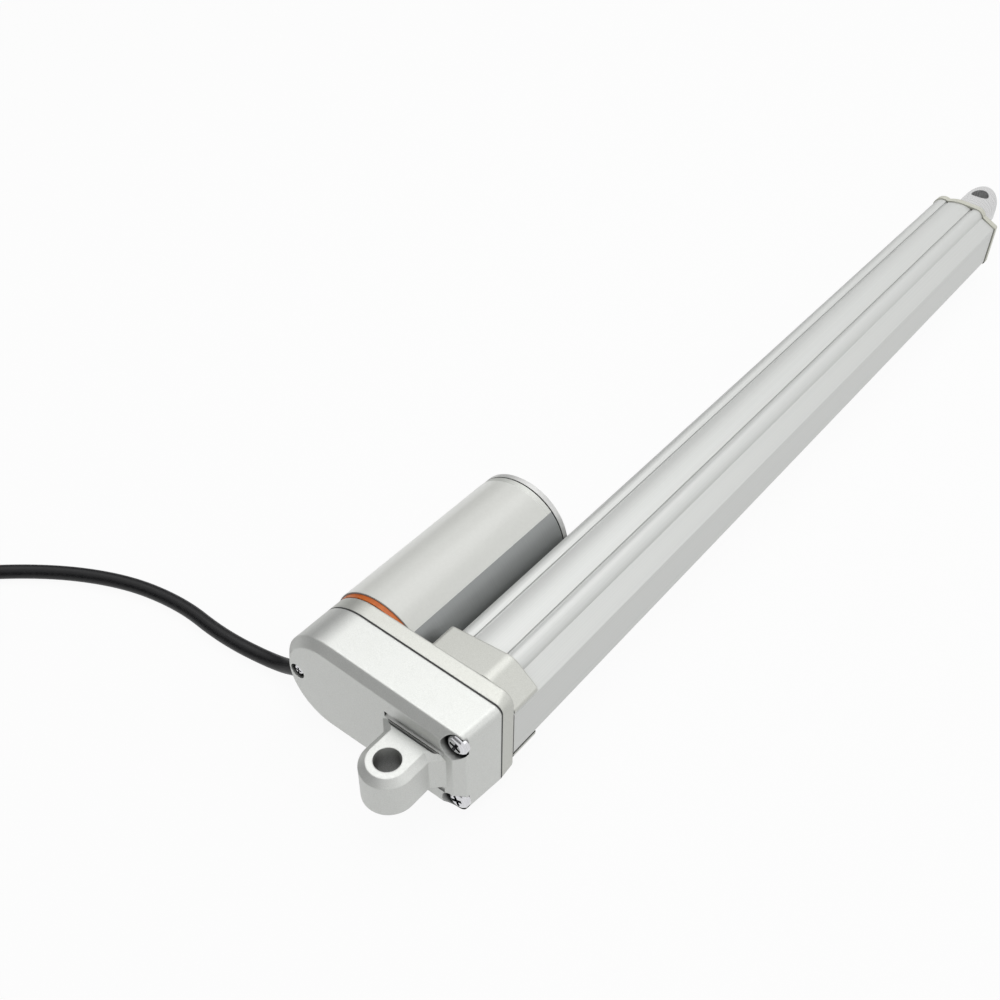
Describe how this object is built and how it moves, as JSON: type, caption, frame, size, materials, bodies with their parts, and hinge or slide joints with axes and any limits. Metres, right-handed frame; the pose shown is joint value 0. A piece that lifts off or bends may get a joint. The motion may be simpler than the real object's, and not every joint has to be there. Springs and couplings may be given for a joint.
{
  "type": "electric linear actuator",
  "caption": "Electric linear actuator with a motor beside a ridged extruded tube, a cast gearbox, a clevis eye at each end and a coiled supply cable.",
  "frame": {"origin": "centre of the rear eye's hole, half way through the eye", "axes": "+X along the stroke towards the rod end, +Y towards the motor, +Z along the rear eye's hole"},
  "size_m": [0.5465, 0.2161, 0.0361],
  "materials": {
    "cast_cover": "fine satin casting",
    "cast_front": "fine satin casting, slightly warm",
    "anodised": "satin clear anodised extrusion",
    "cap_paint": "painted die casting",
    "gasket_black": "matt black",
    "seal_orange": "orange silicone",
    "screw_chrome": "bright plated",
    "can_steel": "satin plated steel",
    "label_white": "bare white film",
    "rod_steel": "bright polished steel",
    "steel": "turned steel",
    "gear_steel": "hobbed steel, greased",
    "gear_plastic": "natural acetal",
    "nut_plastic": "natural acetal",
    "bush_plastic": "dark filled plastic",
    "copper": "enamelled copper",
    "magnet": "sintered ferrite",
    "board": "green board",
    "card": "brown board",
    "cable_black": "glossy black jacket",
    "leads": "insulated wires with tinned ferrules"
  },
  "bodies": {
    "housing": {"rear_cover": "cast_cover", "front_housing": "cast_front", "housing_gasket": "gasket_black", "housing_screws": "screw_chrome", "tip_screw": "screw_chrome", "cable_grommet": "gasket_black", "outer_tube": "anodised", "front_cap": "cap_paint", "cap_screws": "screw_chrome", "rod_wiper": "gasket_black", "guide_bush": "bush_plastic", "bearing_outer": "steel", "bearing_shield": "steel", "cluster_pin": "steel", "motor_can": "can_steel", "motor_end_cap": "can_steel", "motor_seal_ring": "seal_orange", "motor_bell": "can_steel", "motor_screws": "screw_chrome", "motor_label": "label_white", "motor_magnets": "magnet", "brush_card": "card", "limit_board": "board", "cable": "cable_black", "cable_coil": "cable_black", "cable_leads": "leads"},
    "rotor": {"motor_shaft": "steel", "motor_pinion": "gear_steel", "armature": "steel", "windings": "copper", "commutator": "copper"},
    "cluster": {"cluster_gear": "gear_plastic"},
    "screw": {"spindle": "steel", "spindle_gear": "gear_plastic", "bearing_inner": "steel"},
    "rod": {"rod_tube": "rod_steel", "rod_end": "rod_steel", "drive_nut": "nut_plastic"}
  },
  "joints": [
    {"name": "motor_turn", "type": "hinge", "parent": "housing", "child": "rotor", "pos_m": [0.06, 0.0335, 0], "axis": [-1, 0, 0], "range_deg": [0, 370909.2]},
    {"name": "cluster_turn", "type": "hinge", "parent": "housing", "child": "cluster", "pos_m": [0.02, 0.0182, 0], "axis": [-1, 0, 0], "range_deg": [-102000.1, 0]},
    {"name": "screw_turn", "type": "hinge", "parent": "housing", "child": "screw", "pos_m": [0.2, 0, 0], "axis": [-1, 0, 0], "range_deg": [0, 36000.1]},
    {"name": "rod_slide", "type": "slide", "parent": "housing", "child": "rod", "axis": [1, 0, 0], "range_m": [0, 0.3]}
  ],
  "couplings": [
    {"joint": "screw_turn", "follows": "rod_slide", "rad_per_m": 2094.4},
    {"joint": "cluster_turn", "follows": "rod_slide", "rad_per_m": -5934.1},
    {"joint": "motor_turn", "follows": "rod_slide", "rad_per_m": 21579}
  ]
}
